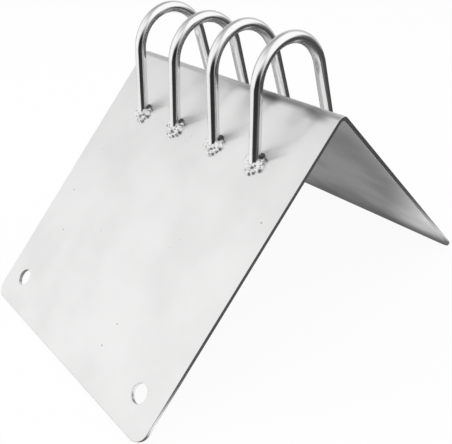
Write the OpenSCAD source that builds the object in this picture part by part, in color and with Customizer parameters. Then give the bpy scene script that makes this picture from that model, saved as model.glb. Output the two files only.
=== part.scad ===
// Rope edge protector: one sheet folded over the edge, with round rod hoops welded astride the fold.
// X runs along the fold, the front flap falls towards -Y and the rear flap towards +Y, and Z is up.
// The origin lies on the floor under the middle of the fold, and all sizes are in millimetres.

/* [Folded sheet] */
// Width of the sheet, along the fold
sheet_w = 210; // [180:1:300]
// Length of each flap, from the sharp outer corner of the fold to its lower edge
flap_len = 235; // [160:1:320]
// Thickness of the sheet
sheet_t = 3; // [2:0.5:5]
// Angle between the two flaps, inside the fold
fold_angle = 90; // [80:1:105]
// Inside radius of the fold
fold_r = 3; // [1:0.5:8]
// Rounding of the lower corners of both flaps
corner_r = 10; // [4:1:16]

/* [Lashing holes] */
// Diameter of the two holes in the front flap
hole_d = 13; // [8:0.5:16]
// Centre of a hole, in from the side edge
hole_side = 22; // [16:0.5:40]
// Centre of a hole, up from the lower edge
hole_up = 24.5; // [16:0.5:50]

/* [Hoops] */
// Diameter of the round rod
rod_d = 8; // [6:0.5:10]
// Distance between neighbouring hoops, along the fold
hoop_pitch = 42; // [30:1:46]
// Bend radius of the crown, at the rod's centre line
crown_r = 28.5; // [20:0.5:34]
// Height of the rod's centre line at the top of the crown, over the fold's sharp corner
crown_h = 38; // [32:0.5:60]
// Angle by which each leg spreads from the hoop's own middle line
leg_splay = 9; // [0:0.5:14]
// Tilt of the hoops about the fold, with their tops towards the front
hoop_tilt = 5; // [0:0.5:8]
// Shift of the crowns towards the front
hoop_shift = 3.5; // [0:0.5:8]
// Sideways lean of each hoop from its hand fitting, positive towards +X
hoop_lean = [-1, -0.5, -4, -2.5]; // [-5:0.5:5]
// Difference in height of each hoop from its hand bending
hoop_rise = [0.5, -0.5, 0.5, -0.5]; // [-1:0.1:1]

/* [Weld beads] */
// Radius of the ripples of a bead
bead_r = 2.6; // [2:0.1:3.6]
// Distance from the rod's surface to the middle of the ripples
bead_out = 1.1; // [0.6:0.1:2]
// Number of ripples round a foot
bead_ripples = 11; // [9:1:15]
// Angle that the bead reaches round the foot each way from its downhill side
bead_reach = 148; // [120:1:160]

/* [Hidden] */
$fn = 64;
FRONT = -1;
REAR = 1;
SHEET_COLOUR = [0.86, 0.87, 0.87];
ROD_COLOUR = [0.72, 0.73, 0.75];
WELD_COLOUR = [0.62, 0.62, 0.64];

// Half of the fold's angle: each flap's lean from the upright
half = fold_angle / 2;
outer_fold_r = fold_r + sheet_t;
// Height of the sharp outer corner when the sheet stands on the inner lower edges of its flaps
ridge_z = flap_len * cos(half) + sheet_t * sin(half);
// Where a flap's flat face starts, down from the sharp corner
flat_start = outer_fold_r / tan(half);
rod_r = rod_d / 2;
hoops = len(hoop_lean);
// How far the ripples of one bead differ in radius, as laid by hand
ripple_change = 0.35;
// Degrees by which that difference runs on from ripple to ripple, from hoop to hoop and with the side
ripple_steps = [137, 71, 40];

// A flap's outward normal
function normal(side) = [0, side * cos(half), sin(half)];
function hoop_x(i) = (i - (hoops - 1) / 2) * hoop_pitch;
function crown_centre(i) = [hoop_x(i), -hoop_shift, ridge_z + crown_h + hoop_rise[i] - crown_r];
function tilted(v) = [
    v.x,
    v.y * cos(hoop_tilt) - v.z * sin(hoop_tilt),
    v.y * sin(hoop_tilt) + v.z * cos(hoop_tilt)
];
function leaned(v, i) = [
    v.x * cos(hoop_lean[i]) + v.z * sin(hoop_lean[i]),
    v.y,
    -v.x * sin(hoop_lean[i]) + v.z * cos(hoop_lean[i])
];
// The upper end of a leg's centre line, its direction, and where it meets the flap's outer face
function leg_top(side) = [0, side * crown_r * cos(leg_splay), crown_r * sin(leg_splay)];
function leg_start(i, side) = crown_centre(i) + leaned(tilted(leg_top(side)), i);
function leg_dir(i, side) = leaned(tilted([0, side * sin(leg_splay), -cos(leg_splay)]), i);
function leg_length(i, side) =
    -(leg_start(i, side) - [0, 0, ridge_z]) * normal(side) / (leg_dir(i, side) * normal(side));
function foot(i, side) = leg_start(i, side) + leg_length(i, side) * leg_dir(i, side);
function unit(v) = v / norm(v);
// The long direction of a foot's oval section, in the flap's face
function foot_axis(i, side) =
    unit(leg_dir(i, side) - (leg_dir(i, side) * normal(side)) * normal(side));
function foot_stretch(i, side) = 1 / abs(leg_dir(i, side) * normal(side));

// The front flap's frame: x along the fold, y uphill with 0 at the sharp corner, z out of the sheet
module in_front_flap() {
    translate([0, 0, ridge_z])
        rotate([90 - half, 0, 0])
            children();
}

// Outline of a flap's flat part, with its two lower corners rounded
module flap_outline() {
    side_x = sheet_w / 2;
    corner_x = side_x - corner_r;
    corner_y = -(flap_len - corner_r);
    polygon([[-side_x, corner_y], [side_x, corner_y], [side_x, -flat_start], [-side_x, -flat_start]]);
    translate([-corner_x, -flap_len])
        square([2 * corner_x, 2 * corner_r]);
    for (end = [-1, 1])
        translate([end * corner_x, corner_y])
            circle(corner_r);
}

module hole_outlines() {
    for (end = [-1, 1])
        translate([end * (sheet_w / 2 - hole_side), -(flap_len - hole_up)])
            circle(d = hole_d);
}

// Half of the sheet on the front side: a flap and the fold's bend up to the middle plane
module half_sheet(drilled) {
    difference() {
        in_front_flap() {
            translate([0, 0, -sheet_t])
                linear_extrude(sheet_t)
                    difference() {
                        flap_outline();
                        if (drilled)
                            hole_outlines();
                    }
            translate([sheet_w / 2, -flat_start, -outer_fold_r])
                rotate([0, -90, 0])
                    rotate_extrude(angle = 90)
                        translate([fold_r, 0])
                            square([sheet_t, sheet_w]);
        }
        translate([-sheet_w, 0, 0])
            cube([2 * sheet_w, flap_len, 2 * flap_len]);
    }
}

module folded_sheet() {
    color(SHEET_COLOUR) {
        half_sheet(drilled = true);
        rotate([0, 0, 180])
            half_sheet(drilled = false);
    }
}

// Everything under the outer faces of the two flaps, which the feet and beads are cut to
module under_flaps() {
    foot_y = ridge_z * tan(half);
    translate([-sheet_w, 0, 0])
        rotate([90, 0, 90])
            linear_extrude(2 * sheet_w)
                polygon([[0, ridge_z], [-foot_y, 0], [foot_y, 0]]);
}

// A hoop's own plane: x towards the rear, y up, with 0 at the crown's centre
module in_hoop_plane(i) {
    translate(crown_centre(i))
        rotate([hoop_tilt, hoop_lean[i], 0])
            rotate([90, 0, 90])
                children();
}

// In a hoop's plane, what is drawn for the rear, as it is or turned round to the front
module on_side(side) {
    rotate([0, side == FRONT ? 180 : 0, 0])
        children();
}

// One leg, long enough to pass through the flap's face all round
module leg(i, side) {
    past_face = 2 * rod_d * foot_stretch(i, side);
    rotate([0, 0, leg_splay])
        translate([crown_r, 0, 0])
            rotate([90, 0, 0])
                cylinder(h = leg_length(i, side) + past_face, d = rod_d);
}

// A leg and its half of the crown, up to the hoop's middle line
module half_hoop(i, side) {
    difference() {
        union() {
            leg(i, side);
            rotate([0, 0, leg_splay])
                rotate_extrude(angle = 90)
                    translate([crown_r, 0])
                        circle(d = rod_d);
        }
        translate([-2 * crown_r, 0, -rod_d])
            cube([2 * crown_r, 2 * crown_r, 2 * rod_d]);
    }
}

module hoop(i) {
    color(ROD_COLOUR)
        difference() {
            in_hoop_plane(i)
                for (side = [REAR, FRONT])
                    on_side(side)
                        half_hoop(i, side);
            under_flaps();
        }
}

// A bead of overlapping ripples round a foot, open on the uphill side that a torch can't reach
module weld(i, side) {
    along = foot_axis(i, side);
    across = cross(normal(side), along);
    long_r = rod_r * foot_stretch(i, side) + bead_out;
    short_r = rod_r + bead_out;
    color(WELD_COLOUR)
        difference() {
            for (k = [0 : bead_ripples - 1]) {
                turn = bead_reach * (2 * k / (bead_ripples - 1) - 1);
                translate(foot(i, side) + long_r * cos(turn) * along + short_r * sin(turn) * across)
                    sphere(r = bead_r + ripple_change * sin(ripple_steps * [k, i, side]));
            }
            in_hoop_plane(i)
                on_side(side)
                    leg(i, side);
            under_flaps();
        }
}

folded_sheet();
hoop(0);  // hoop_1
hoop(1);  // hoop_2
hoop(2);  // hoop_3
hoop(3);  // hoop_4
weld(0, FRONT);  // front_weld_1
weld(1, FRONT);  // front_weld_2
weld(2, FRONT);  // front_weld_3
weld(3, FRONT);  // front_weld_4
weld(0, REAR);  // rear_weld_1
weld(1, REAR);  // rear_weld_2
weld(2, REAR);  // rear_weld_3
weld(3, REAR);  // rear_weld_4
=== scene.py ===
import math
import random

import bmesh
import bpy
from mathutils import Matrix, Vector


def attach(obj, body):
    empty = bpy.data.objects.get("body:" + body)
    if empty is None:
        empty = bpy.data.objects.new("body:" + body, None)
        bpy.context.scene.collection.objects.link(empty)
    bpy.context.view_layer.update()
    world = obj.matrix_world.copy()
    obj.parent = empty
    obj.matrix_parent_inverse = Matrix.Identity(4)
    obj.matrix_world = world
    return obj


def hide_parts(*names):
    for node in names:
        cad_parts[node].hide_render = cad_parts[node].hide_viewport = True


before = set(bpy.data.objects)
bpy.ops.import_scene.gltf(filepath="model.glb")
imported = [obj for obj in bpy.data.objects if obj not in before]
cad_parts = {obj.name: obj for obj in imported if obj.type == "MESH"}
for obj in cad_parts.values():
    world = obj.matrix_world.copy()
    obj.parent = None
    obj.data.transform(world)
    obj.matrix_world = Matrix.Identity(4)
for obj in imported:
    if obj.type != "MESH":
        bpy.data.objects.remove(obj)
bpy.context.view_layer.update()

# Sizes in metres, as in the construction

MM = 0.001
SHEET_WIDTH = 210 * MM
FLAP_LENGTH = 235 * MM
SHEET_THICKNESS = 3 * MM
FOLD_RADIUS = 3 * MM
CORNER_RADIUS = 10 * MM
HOLE_DIAMETER = 13 * MM
HOLE_FROM_SIDE = 22 * MM
HOLE_FROM_LOWER_EDGE = 24.5 * MM
ROD_RADIUS = 4 * MM
HOOP_PITCH = 42 * MM
CROWN_RADIUS = 28.5 * MM
CROWN_HEIGHT = 38 * MM
LEG_SPLAY = math.radians(9)
HOOP_TILT = math.radians(5)
HOOP_SHIFT = 3.5 * MM
HOOP_LEAN = [math.radians(degrees) for degrees in (-1, -0.5, -4, -2.5)]
HOOP_RISE = [rise * MM for rise in (0.5, -0.5, 0.5, -0.5)]
BEAD_REACH = math.radians(148)
# Each row of a bead's ripples: how many, their reach each way, out from the rod's surface, up the leg, and
# their thickness
BEAD_ROWS = [
    (11, BEAD_REACH, 0.7 * MM, 0 * MM, 2.4 * MM),
    (8, 0.72 * BEAD_REACH, -0.1 * MM, 3.4 * MM, 2.0 * MM),
]
# How the ripples vary: in millimetres out from their row, and in shares of their thickness
RIPPLE_SHIFT = (-0.25, 0.3)
RIPPLE_LENGTH = 0.8
RIPPLE_WIDTH = (0.85, 1.1)
RIPPLE_HEIGHT = (0.8, 1.1)
# The bead climbs the rod at its side towards the far end, and has a lump at the other side: both are made in
# steps, each smaller and closer to the rod than the one under it
CLIMB_TURN = math.radians(80)
CLIMB_SWAY = 0.15
CLIMB_STEPS = 5
LUMP_STEPS = 2
STEP_RISE = 1.5 * MM
STEP_OUT = 2.6 * MM
STEP_SUNK = 0.4 * MM
STEP_RADIUS = 2.9 * MM
LAST_STEP_RADIUS = 0.9 * MM
STEP_VARIES = (0.9, 1.1)
STEP_SHAPE = (1.1, 0.9, 0.9)
# Drops that stuck to the bead: how many, over which share of its reach, and three sizes in millimetres
DROPS = 5
DROP_SPREAD = 0.6
DROP_OUT = (0.8, 2.6)
DROP_HEIGHT = (0.2, 1.2)
DROP_RADIUS = (1.0, 1.6)
# The seed of all that differs from bead to bead
BEAD_SEED = 7
# How finely a bead's lumps are fused, and how often it is smoothed
BEAD_VOXEL = 0.25 * MM
BEAD_SMOOTHINGS = 10
# How deep inside the sheet the beads end, and how far under its face and over it, measured upright, the rods
# end and have a ring
BEAD_SUNK = 0.2 * MM
ROD_SUNK = 0.4 * MM
RING_OVER_SHEET = 0.5 * MM
# How far a leg is drawn past the sheet before it is cut
LEG_SPARE = 4 * ROD_RADIUS
# The sheet's edges that are sharper than an angle are broken by a width
BROKEN_EDGE = 0.3 * MM
SHARP_ANGLE = math.radians(50)
# A face belongs to a cut edge where its normal has less than this of the flap's normal, or in the bend where
# it has more than this of the fold's direction
CUT_ACROSS_FLAP = 0.5
CUT_ALONG_FOLD = 0.87
# How many facets the round stretches have
BEND_STEPS = 24
CORNER_SEGMENTS = 16
HOLE_SEGMENTS = 64
ROD_SEGMENTS = 48
CROWN_STEPS = 64

HALF_FOLD = math.radians(45)
RIDGE = FLAP_LENGTH * math.cos(HALF_FOLD) + SHEET_THICKNESS * math.sin(HALF_FOLD)
OUTER_FOLD_RADIUS = FOLD_RADIUS + SHEET_THICKNESS
FLAT_START = OUTER_FOLD_RADIUS / math.tan(HALF_FOLD)
FRONT = -1
REAR = 1
SIDE_NAMES = {FRONT: "front", REAR: "rear"}


def flap_normal(side):
    """The outward normal of the front or the rear flap"""
    return Vector((0, side * math.cos(HALF_FOLD), math.sin(HALF_FOLD)))


def flap_frame():
    """The front flap's frame: x along the fold, y uphill with 0 at the sharp corner, z out of the sheet"""
    return Matrix.Translation((0, 0, RIDGE)) @ Matrix.Rotation(math.pi / 2 - HALF_FOLD, 4, "X")


def hoop_frame(number):
    """A hoop's plane: x towards the rear, y up, with 0 at the crown's centre"""
    along = (number - (len(HOOP_LEAN) - 1) / 2) * HOOP_PITCH
    up = RIDGE + CROWN_HEIGHT + HOOP_RISE[number] - CROWN_RADIUS
    lean = Matrix.Rotation(HOOP_LEAN[number], 4, "Y")
    tilt = Matrix.Rotation(HOOP_TILT, 4, "X")
    upright = Matrix.Rotation(math.pi / 2, 4, "Z") @ Matrix.Rotation(math.pi / 2, 4, "X")
    return Matrix.Translation((along, -HOOP_SHIFT, up)) @ lean @ tilt @ upright


def leg_line(number, side):
    """A point on a leg's centre line, and the leg's direction down to its foot"""
    placed = hoop_frame(number)
    top = placed @ Vector((side * CROWN_RADIUS * math.cos(LEG_SPLAY), CROWN_RADIUS * math.sin(LEG_SPLAY), 0))
    down = placed.to_3x3() @ Vector((side * math.sin(LEG_SPLAY), -math.cos(LEG_SPLAY), 0))
    return top, down


def leg_length(number, side):
    """From the end of the crown to the flap's outer face"""
    top, down = leg_line(number, side)
    normal = flap_normal(side)
    return (Vector((0, 0, RIDGE)) - top).dot(normal) / down.dot(normal)


def foot(number, side):
    """Where a leg's centre line meets the flap's outer face"""
    top, down = leg_line(number, side)
    return top + down * leg_length(number, side)


def piece_from(mesh_maker, name):
    """A new object at the origin from a bmesh, which is used up"""
    mesh = bpy.data.meshes.new(name)
    mesh_maker.to_mesh(mesh)
    mesh_maker.free()
    piece = bpy.data.objects.new(name, mesh)
    bpy.context.scene.collection.objects.link(piece)
    return piece


def bake_modifiers(piece):
    """Replaces a piece's mesh by what its modifiers make of it"""
    depsgraph = bpy.context.evaluated_depsgraph_get()
    finished = bpy.data.meshes.new_from_object(piece.evaluated_get(depsgraph))
    piece.modifiers.clear()
    piece.data = finished


def points_of(drawn):
    """The points of what an operator has drawn"""
    return [item for item in drawn if isinstance(item, bmesh.types.BMVert)]


def edges_of(drawn):
    """The edges of what an operator has drawn"""
    return [item for item in drawn if isinstance(item, bmesh.types.BMEdge)]


def faces_of(drawn):
    """The faces of what an operator has drawn"""
    return [item for item in drawn if isinstance(item, bmesh.types.BMFace)]


def with_edges_and_points(faces):
    """Some faces together with their edges and points, as an operator wants them"""
    around = faces + list({edge for face in faces for edge in face.edges})
    return around + list({vert for face in faces for vert in face.verts})


# Shader values


class Shade:
    """A value in a shader: an operator on it adds a Math node, and node() adds any other

    One without an output only starts other values in its node tree.
    """

    def __init__(self, tree, output=None):
        self.tree = tree
        self.output = output

    def node(self, kind, settings=None, sockets=None, output=0):
        """A node of a kind, with its settings, then the values or links of its sockets"""
        made = self.tree.nodes.new(kind)
        for name, value in (settings or {}).items():
            setattr(made, name, value)
        for name, value in (sockets or {}).items():
            if isinstance(value, Shade):
                self.tree.links.new(value.output, made.inputs[name])
            else:
                made.inputs[name].default_value = value
        return Shade(self.tree, made.outputs[output] if made.outputs else None)

    def math(self, operation, *others):
        """A Math node on this value, and on a second one if the operation needs it"""
        return self.node("ShaderNodeMath", {"operation": operation}, dict(enumerate((self, *others))))

    def number(self, value):
        """A plain number as a value"""
        return self.node("ShaderNodeMath", {"operation": "ADD"}, {0: value, 1: 0})

    def __add__(self, other):
        return self.math("ADD", other)

    __radd__ = __add__

    def __sub__(self, other):
        return self.math("SUBTRACT", other)

    def __rsub__(self, other):
        return self.node("ShaderNodeMath", {"operation": "SUBTRACT"}, {0: other, 1: self})

    def __mul__(self, other):
        return self.math("MULTIPLY", other)

    __rmul__ = __mul__

    def ease(self, low, high):
        """0 below low and 1 above high, with a smooth step between, or the other way round"""
        return self.node(
            "ShaderNodeMapRange", {"interpolation_type": "SMOOTHSTEP"}, {0: self, 1: low, 2: high}
        )

    def band(self, start, full, full_end, end):
        """0 outside the start and the end and 1 between the two other limits, with smooth steps"""
        return self.ease(start, full) * self.ease(end, full_end)

    def towards(self, value, share):
        """This value where the share is 0 and the other value where it is 1"""
        return self + (value - self) * share

    def from_to(self, first, second):
        """The first number where this value is 0 and the second where it is 1"""
        return first + self * (second - first)

    def between(self, first, second):
        """The first colour where this value is 0 and the second where it is 1"""
        return self.node(
            "ShaderNodeMix", {"data_type": "RGBA"}, {0: self, 6: first, 7: second}, output=2
        )

    def greys(self, first, second, warmth=0.0):
        """A grey of the first brightness where this value is 0 and of the second where it is 1"""
        return self.between(grey(first, warmth), grey(second, warmth))

    def noise(self, patches, layers):
        """Soft noise from 0 to 1, with a number of patches a metre and of finer layers on them"""
        place = self.node("ShaderNodeTexCoord", output="Object")
        return self.node(
            "ShaderNodeTexNoise", None, {"Vector": place, "Scale": patches, "Detail": layers}
        )

    def axis(self, name):
        """The object's own x, y or z"""
        place = self.node("ShaderNodeTexCoord", output="Object")
        return self.node("ShaderNodeSeparateXYZ", None, {0: place}, output=name)


def grey(level, warmth=0.0):
    """A neutral colour of a brightness, a little warm or cool"""
    return (level + warmth, level, level - warmth, 1)


def new_material(name):
    """A material with one Principled shader, and a Shade to work in it"""
    material = bpy.data.materials.new(name)
    material.use_nodes = True
    shader = material.node_tree.nodes["Principled BSDF"]
    return material, shader, Shade(material.node_tree)


def feed(shade, shader, **values):
    """Links values to the shader's sockets, whose names have _ for a space"""
    for name, value in values.items():
        shade.tree.links.new(value.output, shader.inputs[name.replace("_", " ")])


# The heat of the welds has left the front flap wavy, so that it stands out about midway between two feet:
# where down the flap the waves start, are full and are gone, from where to where along the fold they come in,
# how high they are, and how far beside each foot
WAVES_START = -2 * MM
WAVES_FULL = 12 * MM
WAVES_GONE = 70 * MM
WAVES_ALONG = (-60 * MM, 30 * MM)
WAVE_HEIGHT = 1.6 * MM
WAVE_BESIDE_FOOT = 24 * MM
# The front flap has painted dark reflections: spots between the feet, a reflection of each leg as a streak
# uphill of its foot, and a stretch along the bend: how much, and where each comes in and goes out, down the
# flap and along the fold. The widths are limits of what beside_feet gives
PAINTED_SPOT_REFLECTION = 0.52
SPOT_WIDTH = (0.35, 1)
SPOTS_DOWN = (1 * MM, 5.5 * MM, 6.5 * MM, 12 * MM)
SPOTS_ALONG = (20 * MM, 40 * MM)
PAINTED_LEG_REFLECTION = 0.75
STREAK_WIDTH = (0.8, 1)
STREAK_START = 1 * MM
STREAK_LENGTH = 17 * MM
STREAK_SLANT = 1.3
STREAKS_ALONG = (-80 * MM, -70 * MM, 90 * MM, 94 * MM)
PAINTED_BEND_REFLECTION = 0.52
BEND_DOWN = (9 * MM, 5 * MM)
BEND_ALONG = (0, 30 * MM, 70 * MM, 95 * MM)
# The uphill end of each front bead has painted shade, where the rod meets the sheet: how far beside its
# foot the middle of the shade is, the limits of what beside_feet gives there, and from where to where
# uphill of the foot it comes in
CREVICE_SHADE_BESIDE_FOOT = 6 * MM
CREVICE_SHADE_WIDTH = (0.8, 0.95)
CREVICE_SHADE_UPHILL = (5 * MM, 7 * MM)

# The patterns in the metals: how many patches lie on a metre, and from where to where in the noise some show
CLOUDS = 20
CLOUDS_SHOWN = (0.3, 0.7)
GRAIN = 2600
SPECKS = 320
SPECKS_SHOWN = (0.88, 0.9)
INSIDE_REFLECTIONS = 16
INSIDE_REFLECTIONS_SHOWN = (0.35, 0.65)
EDGE_MARKS = 500
ROD_CLOUDS = 90
ROD_WAVES = 150
BEAD_SPOTS = 300
BEAD_SPOTS_SHOWN = (0.56, 0.68)
BEAD_BUMPS = 350
# How high the patterns in the bumps are
CLOUD_HEIGHT = 0.35 * MM
GRAIN_HEIGHT = 0.03 * MM
ROD_WAVE_HEIGHT = 0.05 * MM
BEAD_BUMP_HEIGHT = 0.2 * MM

# How bright and how rough each metal is, from where its pattern is 0 to where it is 1
SHEET_GREY = (0.82, 0.89)
SHEET_WARMTH = 0.002
SHEET_ROUGHNESS = (0.25, 0.33)
INSIDE_REFLECTION_GREY = (0.66, 0.96)
SPECK_GREY = 0.45
PAINTED_REFLECTION_GREY = 0.2
EDGE_GREY = (0.78, 0.88)
EDGE_ROUGHNESS = (0.2, 0.3)
ROD_GREY = (0.88, 0.96)
ROD_ROUGHNESS = (0.1, 0.18)
BEAD_GREY = (0.93, 0.4)
BEAD_ROUGHNESS = (0.38, 0.53)
CREVICE_SHADE_GREY = 0.1


def down_the_flap(shade):
    """How far a place on the outer face of a flap lies from the fold's sharp corner"""
    return (RIDGE - shade.axis("Z")) * (1 / math.cos(HALF_FOLD))


def uphill_of_feet(shade):
    """How far a place on the front flap lies uphill of the front feet"""
    foot_down = (RIDGE - foot(1, FRONT).z) / math.cos(HALF_FOLD)
    return foot_down - down_the_flap(shade)


def beside_feet(place):
    """1 where a place along the fold is at a foot, and 0 where it is midway between two"""
    turns = (place - foot(1, FRONT).x) * (2 * math.pi / HOOP_PITCH)
    return turns.math("COSINE") * 0.5 + 0.5


def in_front(shade):
    """1 on the front side of the fold"""
    return shade.axis("Y").ease(0, -1 * MM)


def waves_below_fold(shade):
    """How far the front flap's outer face stands out, in the waves that the heat has left"""
    x = shade.axis("X")
    height = down_the_flap(shade).band(WAVES_START, WAVES_FULL, WAVES_FULL, WAVES_GONE) * WAVE_HEIGHT
    return height * beside_feet(x - WAVE_BESIDE_FOOT) * x.ease(*WAVES_ALONG) * in_front(shade)


def painted_dark_reflections(shade):
    """Painted dark reflections: spots below the fold, streaks uphill of the front feet, and the bend"""
    x = shade.axis("X")
    down = down_the_flap(shade)
    spots = beside_feet(x - WAVE_BESIDE_FOOT).ease(*SPOT_WIDTH)
    spots = spots * down.band(*SPOTS_DOWN) * x.ease(*SPOTS_ALONG)
    uphill = uphill_of_feet(shade)
    streaks = beside_feet(x - uphill * STREAK_SLANT).ease(*STREAK_WIDTH)
    streaks = streaks * uphill.ease(0, STREAK_START) * uphill.ease(STREAK_LENGTH, 0) * x.band(*STREAKS_ALONG)
    bend = down.ease(*BEND_DOWN) * x.band(*BEND_ALONG)
    return (spots * PAINTED_SPOT_REFLECTION + streaks * PAINTED_LEG_REFLECTION) * in_front(shade) + bend * PAINTED_BEND_REFLECTION


def inside_fold(shade):
    """1 on the inner faces of both flaps"""
    under_outer_face = (RIDGE - shade.axis("Z") - shade.axis("Y").math("ABSOLUTE")) * math.cos(HALF_FOLD)
    return under_outer_face.ease(SHEET_THICKNESS / 3, 2 * SHEET_THICKNESS / 3)


def satin_sheet():
    """Pale satin stainless sheet: faint clouds, fine grain, a few specks, and painted reflections and shade
    """
    material, shader, shade = new_material("satin_sheet")
    shader.inputs["Metallic"].default_value = 1
    clouds = shade.noise(CLOUDS, layers=4)
    grain = shade.noise(GRAIN, layers=1)
    specks = shade.noise(SPECKS, layers=0).ease(*SPECKS_SHOWN)
    inside_reflections = shade.noise(INSIDE_REFLECTIONS, layers=2).ease(*INSIDE_REFLECTIONS_SHOWN)
    colour = clouds.ease(*CLOUDS_SHOWN).greys(*SHEET_GREY, SHEET_WARMTH)
    # The inner faces have painted streaky reflections, a little darker than outside: painted shade under the
    # fold
    colour = inside_fold(shade).between(colour, inside_reflections.greys(*INSIDE_REFLECTION_GREY))
    colour = specks.between(colour, grey(SPECK_GREY))
    # Painted dark reflections below the fold, uphill of the front feet and along the bend
    colour = painted_dark_reflections(shade).between(colour, grey(PAINTED_REFLECTION_GREY))
    waves = waves_below_fold(shade) + clouds * CLOUD_HEIGHT
    wavy = shade.node("ShaderNodeBump", None, {"Strength": 1.0, "Distance": 1.0, "Height": waves})
    bump = shade.node(
        "ShaderNodeBump", None, {"Strength": 0.1, "Distance": GRAIN_HEIGHT, "Height": grain, "Normal": wavy}
    )
    feed(shade, shader, Base_Color=colour, Roughness=clouds.from_to(*SHEET_ROUGHNESS), Normal=bump)
    return material


def sheared_edge():
    """The sheet's cut edges: a little duller, with fine marks"""
    material, shader, shade = new_material("sheared_edge")
    shader.inputs["Metallic"].default_value = 1
    marks = shade.noise(EDGE_MARKS, layers=2)
    feed(shade, shader, Base_Color=marks.greys(*EDGE_GREY), Roughness=marks.from_to(*EDGE_ROUGHNESS))
    return material


def polished_rod():
    """Bright round bar, with a faint unevenness of its polish"""
    material, shader, shade = new_material("polished_rod")
    shader.inputs["Metallic"].default_value = 1
    clouds = shade.noise(ROD_CLOUDS, layers=3)
    waves = shade.noise(ROD_WAVES, layers=2)
    colour = clouds.greys(*ROD_GREY)
    bump = shade.node("ShaderNodeBump", None, {"Strength": 0.1, "Distance": ROD_WAVE_HEIGHT, "Height": waves})
    feed(shade, shader, Base_Color=colour, Roughness=clouds.from_to(*ROD_ROUGHNESS), Normal=bump)
    return material


def weld_metal():
    """Bright bumpy bead metal with dull spots, and painted shade at the uphill end of each front bead"""
    material, shader, shade = new_material("weld_metal")
    shader.inputs["Metallic"].default_value = 1
    spots = shade.noise(BEAD_SPOTS, layers=2).ease(*BEAD_SPOTS_SHOWN)
    bumps = shade.noise(BEAD_BUMPS, layers=1)
    colour = spots.greys(*BEAD_GREY)
    # Painted shade where the uphill end of each front bead meets the rod and the sheet
    crevice_shade = uphill_of_feet(shade).ease(*CREVICE_SHADE_UPHILL)
    crevice_shade = crevice_shade * beside_feet(shade.axis("X") - CREVICE_SHADE_BESIDE_FOOT).ease(*CREVICE_SHADE_WIDTH)
    colour = (crevice_shade * in_front(shade)).between(colour, grey(CREVICE_SHADE_GREY))
    bump = shade.node(
        "ShaderNodeBump", None, {"Strength": 0.12, "Distance": BEAD_BUMP_HEIGHT, "Height": bumps}
    )
    feed(shade, shader, Base_Color=colour, Roughness=spots.from_to(*BEAD_ROUGHNESS), Normal=bump)
    return material


# The folded sheet


def corner_edges(maker):
    """The four edges through the thickness at the lower corners of both flaps"""
    slack = 0.1 * MM
    found = []
    for edge in maker.edges:
        low = all(vert.co.z < 2 * SHEET_THICKNESS for vert in edge.verts)
        if low and abs(edge.calc_length() - SHEET_THICKNESS) < slack:
            found.append(edge)
    return found


def lashing_hole_drill(end):
    """A round cutter through one of the holes in the front flap"""
    maker = bmesh.new()
    from_middle = end * (SHEET_WIDTH / 2 - HOLE_FROM_SIDE)
    downhill = FLAP_LENGTH - HOLE_FROM_LOWER_EDGE
    at = Matrix.Translation((from_middle, -downhill, -SHEET_THICKNESS / 2))
    bmesh.ops.create_cone(
        maker, cap_ends=True, segments=HOLE_SEGMENTS, radius1=HOLE_DIAMETER / 2,
        radius2=HOLE_DIAMETER / 2, depth=3 * SHEET_THICKNESS, matrix=flap_frame() @ at,
    )
    return piece_from(maker, "drill")


def make_folded_sheet():
    """One sheet: the front flap's section is drawn out, turned round the fold and drawn out again"""
    maker = bmesh.new()
    placed = flap_frame()
    side = SHEET_WIDTH / 2
    corners = [
        (-side, -FLAP_LENGTH, -SHEET_THICKNESS), (side, -FLAP_LENGTH, -SHEET_THICKNESS),
        (side, -FLAP_LENGTH, 0), (-side, -FLAP_LENGTH, 0),
    ]
    section = maker.faces.new([maker.verts.new(placed @ Vector(corner)) for corner in corners])
    uphill = placed.to_3x3() @ Vector((0, FLAP_LENGTH - FLAT_START, 0))
    drawn = bmesh.ops.extrude_face_region(maker, geom=[section], use_keep_orig=True)["geom"]
    bmesh.ops.translate(maker, vec=uphill, verts=points_of(drawn))
    around = with_edges_and_points(faces_of(drawn))
    fold_centre = placed @ Vector((0, -FLAT_START, -OUTER_FOLD_RADIUS))
    turned = bmesh.ops.spin(
        maker, geom=around, cent=fold_centre, axis=(1, 0, 0), angle=-(math.pi - 2 * HALF_FOLD),
        steps=BEND_STEPS,
    )["geom_last"]
    last_turned = faces_of(turned)
    drawn = bmesh.ops.extrude_face_region(maker, geom=last_turned)["geom"]
    # The section that stays inside the sheet goes, or it would bend the shading beside it
    bmesh.ops.delete(maker, geom=[face for face in last_turned if face.is_valid], context="FACES_ONLY")
    downhill = Vector((uphill.x, uphill.y, -uphill.z))
    bmesh.ops.translate(maker, vec=downhill, verts=points_of(drawn))
    bmesh.ops.remove_doubles(maker, verts=maker.verts, dist=0.001 * MM)
    bmesh.ops.bevel(
        maker, geom=corner_edges(maker), offset=CORNER_RADIUS, offset_type="OFFSET",
        segments=CORNER_SEGMENTS, profile=0.5, affect="EDGES", material=-1,
    )
    bmesh.ops.recalc_face_normals(maker, faces=maker.faces)
    sheet = piece_from(maker, "satin_folded_sheet")
    for end in (-1, 1):
        drill = lashing_hole_drill(end)
        cut = sheet.modifiers.new("hole", "BOOLEAN")
        cut.object = drill
        cut.solver = "EXACT"
        bake_modifiers(sheet)
        bpy.data.objects.remove(drill)
    soften_sheet_edges(sheet)
    return sheet


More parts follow.
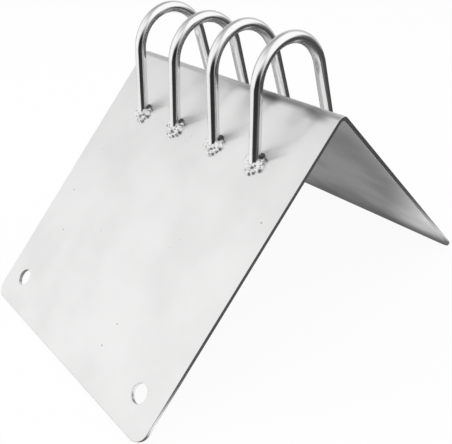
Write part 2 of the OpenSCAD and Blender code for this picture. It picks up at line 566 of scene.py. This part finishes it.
def soften_sheet_edges(sheet):
    """Breaks the sharp edges, and gives the cut faces between them their own material"""
    maker = bmesh.new()
    maker.from_mesh(sheet.data)
    sharp = [edge for edge in maker.edges if edge.calc_face_angle() > SHARP_ANGLE]
    bmesh.ops.bevel(
        maker, geom=sharp, offset=BROKEN_EDGE, offset_type="OFFSET", segments=2, profile=0.5,
        affect="EDGES", material=-1, clamp_overlap=True,
    )
    for face in maker.faces:
        face.smooth = True
        middle = face.calc_center_median()
        side = FRONT if middle.y < 0 else REAR
        downhill = Vector((0, side * math.sin(HALF_FOLD), -math.cos(HALF_FOLD)))
        on_flap = (middle - Vector((0, 0, RIDGE))).dot(downhill) > FLAT_START
        if on_flap:
            on_cut = abs(face.normal.dot(flap_normal(side))) < CUT_ACROSS_FLAP
        else:
            on_cut = abs(face.normal.x) > CUT_ALONG_FOLD
        face.material_index = 1 if on_cut else 0
    maker.to_mesh(sheet.data)
    maker.free()
    weighted = sheet.modifiers.new("weighted_normals", "WEIGHTED_NORMAL")
    weighted.weight = 100
    weighted.keep_sharp = False


# The hoops


def make_hoop(number):
    """One bent rod: a ring of its section is turned round the crown, and both ends are drawn down"""
    maker = bmesh.new()
    start = Matrix.Rotation(LEG_SPLAY, 4, "Z") @ Matrix.Translation((CROWN_RADIUS, 0, 0))
    section = start @ Matrix.Rotation(math.pi / 2, 4, "X")
    ring = bmesh.ops.create_circle(
        maker, segments=ROD_SEGMENTS, radius=ROD_RADIUS, matrix=section,
    )["verts"]
    first = list({edge for vert in ring for edge in vert.link_edges})
    turned = bmesh.ops.spin(
        maker, geom=ring + first, cent=(0, 0, 0), axis=(0, 0, 1), angle=math.pi - 2 * LEG_SPLAY,
        steps=CROWN_STEPS,
    )["geom_last"]
    legs = []
    for side, edges in ((REAR, first), (FRONT, edges_of(turned))):
        length = leg_length(number, side) + LEG_SPARE
        down = Vector((side * math.sin(LEG_SPLAY), -math.cos(LEG_SPLAY), 0)) * length
        drawn = bmesh.ops.extrude_edge_only(maker, edges=edges)["geom"]
        bmesh.ops.translate(maker, vec=down, verts=points_of(drawn))
        legs.append((side, faces_of(drawn)))
    bmesh.ops.transform(maker, matrix=hoop_frame(number), verts=maker.verts)
    over_sheet = Vector((0, 0, RIDGE + RING_OVER_SHEET))
    inside_sheet = Vector((0, 0, RIDGE - ROD_SUNK))
    for side, faces in legs:
        leg = with_edges_and_points(faces)
        # A ring just over the sheet keeps the flat end's shading off the long faces of the leg
        leg = bmesh.ops.bisect_plane(maker, geom=leg, plane_co=over_sheet, plane_no=flap_normal(side))["geom"]
        bmesh.ops.bisect_plane(
            maker, geom=leg, plane_co=inside_sheet, plane_no=flap_normal(side), clear_inner=True,
        )
    bmesh.ops.holes_fill(maker, edges=[edge for edge in maker.edges if edge.is_boundary])
    bmesh.ops.recalc_face_normals(maker, faces=maker.faces)
    # Only the faces that close the two ends stay flat
    for face in maker.faces:
        face.smooth = len(face.verts) == 4
    return piece_from(maker, f"bent_rod_{number + 1}")


# The weld beads


def add_blob(maker, place, turned, size):
    """A rounded lump, longer or flatter along its own axes"""
    scaled = Matrix.Translation(place) @ turned @ Matrix.Diagonal(size.to_4d())
    bmesh.ops.create_icosphere(maker, subdivisions=3, radius=1, matrix=scaled)


def make_bead(number, side, dice):
    """A bead round a foot: rows of ripples, a climb up the rod, a lump and a few drops, all run together"""
    maker = bmesh.new()
    normal = flap_normal(side)
    down = leg_line(number, side)[1]
    stretch = 1 / abs(down.dot(normal))
    along = (down - down.dot(normal) * normal).normalized()
    across = normal.cross(along)
    centre = foot(number, side)
    upright = Matrix((along, across, normal)).transposed().to_4x4()

    def beside_rod(start, turn, off):
        """A place at a turn round the foot from its downhill side, and off the rod's surface"""
        place = start + (ROD_RADIUS * stretch + off) * math.cos(turn) * along
        return place + (ROD_RADIUS + off) * math.sin(turn) * across

    for ripples, reach, out, lift, thickness in BEAD_ROWS:
        for step in range(ripples):
            turn = reach * (2 * step / (ripples - 1) - 1)
            off = out + dice.uniform(*RIPPLE_SHIFT) * MM
            turned = upright @ Matrix.Rotation(turn + math.pi / 2, 4, "Z")
            shape = Vector((RIPPLE_LENGTH, dice.uniform(*RIPPLE_WIDTH), dice.uniform(*RIPPLE_HEIGHT)))
            add_blob(maker, beside_rod(centre - down * lift, turn, off), turned, shape * thickness)
    to_near_end = 1 if across.x > 0 else -1
    for flank, steps in ((-to_near_end, CLIMB_STEPS), (to_near_end, LUMP_STEPS)):
        for step in range(steps):
            left = 1 - step / CLIMB_STEPS
            turn = flank * CLIMB_TURN + dice.uniform(-CLIMB_SWAY, CLIMB_SWAY)
            place = beside_rod(centre - down * STEP_RISE * step, turn, STEP_OUT * left - STEP_SUNK)
            radius = LAST_STEP_RADIUS + (STEP_RADIUS - LAST_STEP_RADIUS) * left * dice.uniform(*STEP_VARIES)
            add_blob(maker, place, upright, Vector(STEP_SHAPE) * radius)
    for drop in range(DROPS):
        turn = dice.uniform(-DROP_SPREAD, DROP_SPREAD) * BEAD_REACH * to_near_end
        place = beside_rod(centre, turn, dice.uniform(*DROP_OUT) * MM)
        place += normal * dice.uniform(*DROP_HEIGHT) * MM
        add_blob(maker, place, upright, Vector((1, 1, 1)) * dice.uniform(*DROP_RADIUS) * MM)
    bead = piece_from(maker, f"{SIDE_NAMES[side]}_bead_{number + 1}")
    run_together(bead)
    cut_to_sheet(bead, normal)
    return bead


def run_together(bead):
    """Fuses a bead's lumps into one skin, and lets it flow"""
    remesh = bead.modifiers.new("fuse", "REMESH")
    remesh.mode = "VOXEL"
    remesh.voxel_size = BEAD_VOXEL
    smooth = bead.modifiers.new("flow", "SMOOTH")
    smooth.factor = 0.5
    smooth.iterations = BEAD_SMOOTHINGS
    bake_modifiers(bead)


def cut_to_sheet(bead, normal):
    """Cuts a bead off just inside the sheet, and closes it there"""
    maker = bmesh.new()
    maker.from_mesh(bead.data)
    everything = list(maker.verts) + list(maker.edges) + list(maker.faces)
    inside_sheet = Vector((0, 0, RIDGE)) - normal * BEAD_SUNK
    bmesh.ops.bisect_plane(
        maker, geom=everything, plane_co=inside_sheet, plane_no=-normal, clear_outer=True,
    )
    bmesh.ops.holes_fill(maker, edges=[edge for edge in maker.edges if edge.is_boundary])
    # Only the faces that close the bead stay flat
    for face in maker.faces:
        face.smooth = len(face.verts) <= 4
    maker.to_mesh(bead.data)
    maker.free()


# The object

sheet_metal = satin_sheet()
edge_metal = sheared_edge()
rod_metal = polished_rod()
bead_metal = weld_metal()

folded_sheet = make_folded_sheet()
folded_sheet.data.materials.append(sheet_metal)
folded_sheet.data.materials.append(edge_metal)
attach(folded_sheet, "root")
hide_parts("folded_sheet")

for number in range(len(HOOP_LEAN)):
    rod = make_hoop(number)
    rod.data.materials.append(rod_metal)
    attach(rod, "root")
    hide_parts(f"hoop_{number + 1}")

dice = random.Random(BEAD_SEED)
for side, word in SIDE_NAMES.items():
    for number in range(len(HOOP_LEAN)):
        bead = make_bead(number, side, dice)
        bead.data.materials.append(bead_metal)
        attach(bead, "root")
        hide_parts(f"{word}_weld_{number + 1}")

# The studio

FLOOR_SIZE = 8
WALL_LIGHT = 0.6
# Each patch of the studio: its brightness, its turn from the front towards the right, its height, and how far
# from its middle it starts to fade and is gone, all four in degrees
STUDIO_PATCHES = {
    "left soft box": (1.0, 332, 16, 25, 62),
    "right soft box": (1.04, 132, 42, 32, 52),
    "front soft box": (0.95, 35, 37, 14, 30),
    "dark corner at the back": (0.4, 246, 58, 12, 34),
    "dark foot of the back wall": (0.15, 152, -4, 12, 26),
    "dark room behind the camera": (0.02, 48, -18, 34, 55),
}
# How bright the floor is in the metal at the sides, behind the object, before the dark room and at the front
# of the far end, and from where to where these come in: along the fold and across it, in metres from the
# middle
SIDE_FLOOR = 0.22
REAR_FLOOR = 0.07
REAR_ACROSS = (0.1, 0.2)
DARK_FLOOR = 0.03
DARK_ALONG = (0, 0.14)
DARK_ACROSS = (0.15, -0.4)
LIT_FLOOR = 0.9
LIT_ALONG = (0.1, -0.08)
LIT_ACROSS = (0.1, -0.1)
# The same for the floor round the object: under its fold, in the open, in the shadow at the foot of each
# flap, and before the near end, where the shade reaches more to the rear the further off it is
UNDER_FOLD = 0.27
OPEN_FLOOR = 1.05
OPEN_ACROSS = (0.165, 0.2)
OPEN_NEAR_END = (0.03, 0.1)
OPEN_FAR_END = (-0.09, -0.14)
FOOT_SHADOW = 0.15
FOOT_SHADOW_ACROSS = (0.15, 0.16, 0.17, 0.18)
NEAR_FLOOR = 0.09
NEAR_ALONG = (0.115, 0.13)
NEAR_ACROSS = (0.13, 0.1)
NEAR_SLANT = 0.35
# How far from the middle that floor goes out, and where it goes out behind the object
ROUND_OBJECT = (0.5, 0.4)
ROUND_OBJECT_ACROSS = (0.21, 0.17)
# How far the floor lies under the object, the grey that takes the shadow, and how much of the floor that the
# camera sees is plain white instead
FLOOR_DROP = 0.05 * MM
FLOOR_GREY = 0.85
FLOOR_GLOW = 0.94
# The lamp's side, power and place, and the place that it points at
LAMP_SIZE = 1.2
LAMP_POWER = 8
LAMP_PLACE = (-0.3, -0.4, 1.3)
LAMP_TARGET = Vector((0, 0, 0.1))


def soft_patch(way, turn, height, full, gone):
    """1 in a round patch of directions, which fades out round its middle"""
    turn = math.radians(turn)
    height = math.radians(height)
    middle = (math.sin(turn) * math.cos(height), -math.cos(turn) * math.cos(height), math.sin(height))
    near = way.node("ShaderNodeVectorMath", {"operation": "DOT_PRODUCT"}, {0: way, 1: middle}, output="Value")
    return near.math("ARCCOSINE").ease(math.radians(gone), math.radians(full))


def studio_light(way):
    """How bright the studio is in a direction from the object"""
    light = way.number(WALL_LIGHT)
    for level, turn, height, full, gone in STUDIO_PATCHES.values():
        light = light.towards(level, soft_patch(way, turn, height, full, gone))
    return light


def mirrored_floor(shade):
    """How bright the floor is in the metal at a place"""
    x = shade.axis("X")
    y = shade.axis("Y")
    light = shade.number(SIDE_FLOOR).towards(REAR_FLOOR, y.ease(*REAR_ACROSS))
    light = light.towards(DARK_FLOOR, x.ease(*DARK_ALONG) * y.ease(*DARK_ACROSS))
    light = light.towards(LIT_FLOOR, x.ease(*LIT_ALONG) * y.ease(*LIT_ACROSS))
    either_way = y.math("ABSOLUTE")
    beyond_ends = x.ease(*OPEN_NEAR_END).math("MAXIMUM", x.ease(*OPEN_FAR_END))
    in_the_open = either_way.ease(*OPEN_ACROSS).math("MAXIMUM", beyond_ends)
    round_object = shade.number(UNDER_FOLD).towards(OPEN_FLOOR, in_the_open)
    round_object = round_object.towards(FOOT_SHADOW, either_way.band(*FOOT_SHADOW_ACROSS))
    before_near_end = x.ease(*NEAR_ALONG) * (y - x * NEAR_SLANT).ease(*NEAR_ACROSS)
    round_object = round_object.towards(NEAR_FLOOR, before_near_end)
    away = (x * x + y * y).math("SQRT")
    return light.towards(round_object, away.ease(*ROUND_OBJECT) * y.ease(*ROUND_OBJECT_ACROSS))


def make_floor():
    """A pale floor that the camera sees nearly white, and that keeps the object's shadow"""
    maker = bmesh.new()
    bmesh.ops.create_grid(maker, x_segments=1, y_segments=1, size=FLOOR_SIZE / 2)
    bmesh.ops.translate(maker, vec=(0, 0, -FLOOR_DROP), verts=maker.verts)
    floor = piece_from(maker, "floor")
    material = bpy.data.materials.new("pale_floor")
    material.use_nodes = True
    tree = material.node_tree
    tree.nodes.clear()
    shade = Shade(tree)
    camera_ray = shade.node("ShaderNodeLightPath", output="Is Camera Ray")
    glossy_ray = shade.node("ShaderNodeLightPath", output="Is Glossy Ray")
    through_ray = shade.node("ShaderNodeLightPath", output="Is Transmission Ray")
    mirrored = glossy_ray + through_ray
    glow = camera_ray + mirrored * mirrored_floor(shade)
    pale = shade.node("ShaderNodeBsdfDiffuse", None, {"Color": grey(FLOOR_GREY)})
    white = shade.node("ShaderNodeEmission", None, {"Color": grey(1.0), "Strength": glow})
    share = camera_ray * FLOOR_GLOW + mirrored
    mixed = shade.node("ShaderNodeMixShader", None, {0: share, 1: pale, 2: white})
    shade.node("ShaderNodeOutputMaterial", None, {"Surface": mixed})
    floor.data.materials.append(material)


def make_world():
    """The studio's soft boxes and dark corners in the metal, and plain white to the camera"""
    world = bpy.data.worlds.new("studio")
    bpy.context.scene.world = world
    world.use_nodes = True
    tree = world.node_tree
    tree.nodes.clear()
    shade = Shade(tree)
    way = shade.node("ShaderNodeTexCoord", output="Generated")
    camera_ray = shade.node("ShaderNodeLightPath", output="Is Camera Ray")
    strength = studio_light(way) * (1 - camera_ray) + camera_ray
    light = shade.node("ShaderNodeBackground", None, {"Color": grey(1.0), "Strength": strength})
    shade.node("ShaderNodeOutputWorld", None, {"Surface": light})


def make_key_lamp():
    """A large soft lamp overhead for the floor's shadow"""
    lamp = bpy.data.lights.new("soft_box", "AREA")
    lamp.shape = "SQUARE"
    lamp.size = LAMP_SIZE
    lamp.energy = LAMP_POWER
    holder = bpy.data.objects.new("soft_box", lamp)
    holder.location = LAMP_PLACE
    holder.rotation_mode = "QUATERNION"
    holder.rotation_quaternion = (LAMP_TARGET - holder.location).to_track_quat("-Z", "Y")
    holder.visible_glossy = False
    bpy.context.scene.collection.objects.link(holder)


# The camera stands and looks as the photograph's does, in a frame of 452 by 444 pixels

FRAME_WIDTH = 452
FRAME_HEIGHT = 444
FOCAL_PIXELS = 606.8
CENTRE_PIXEL = (214.4, 237.3)
CAMERA_PLACE = (0.32514, -0.27635, 0.29956)
CAMERA_RIGHT = Vector((0.63638, 0.77068, -0.03279))
CAMERA_UP = Vector((-0.39126, 0.35913, 0.84731))


def make_camera():
    """The photograph's camera, from values fitted to the object's lines and corners"""
    camera = bpy.data.cameras.new("photograph_view")
    camera.sensor_width = 36
    camera.lens = camera.sensor_width * FOCAL_PIXELS / FRAME_WIDTH
    camera.shift_x = (FRAME_WIDTH / 2 - CENTRE_PIXEL[0]) / FRAME_WIDTH
    camera.shift_y = (CENTRE_PIXEL[1] - FRAME_HEIGHT / 2) / FRAME_WIDTH
    camera.clip_start = 0.01
    holder = bpy.data.objects.new("photograph_view", camera)
    turned = Matrix((CAMERA_RIGHT, CAMERA_UP, CAMERA_RIGHT.cross(CAMERA_UP))).transposed()
    holder.matrix_world = Matrix.Translation(CAMERA_PLACE) @ turned.to_4x4()
    bpy.context.scene.collection.objects.link(holder)
    bpy.context.scene.camera = holder


make_floor()
make_world()
make_key_lamp()
make_camera()
bpy.context.scene.view_settings.view_transform = "Standard"
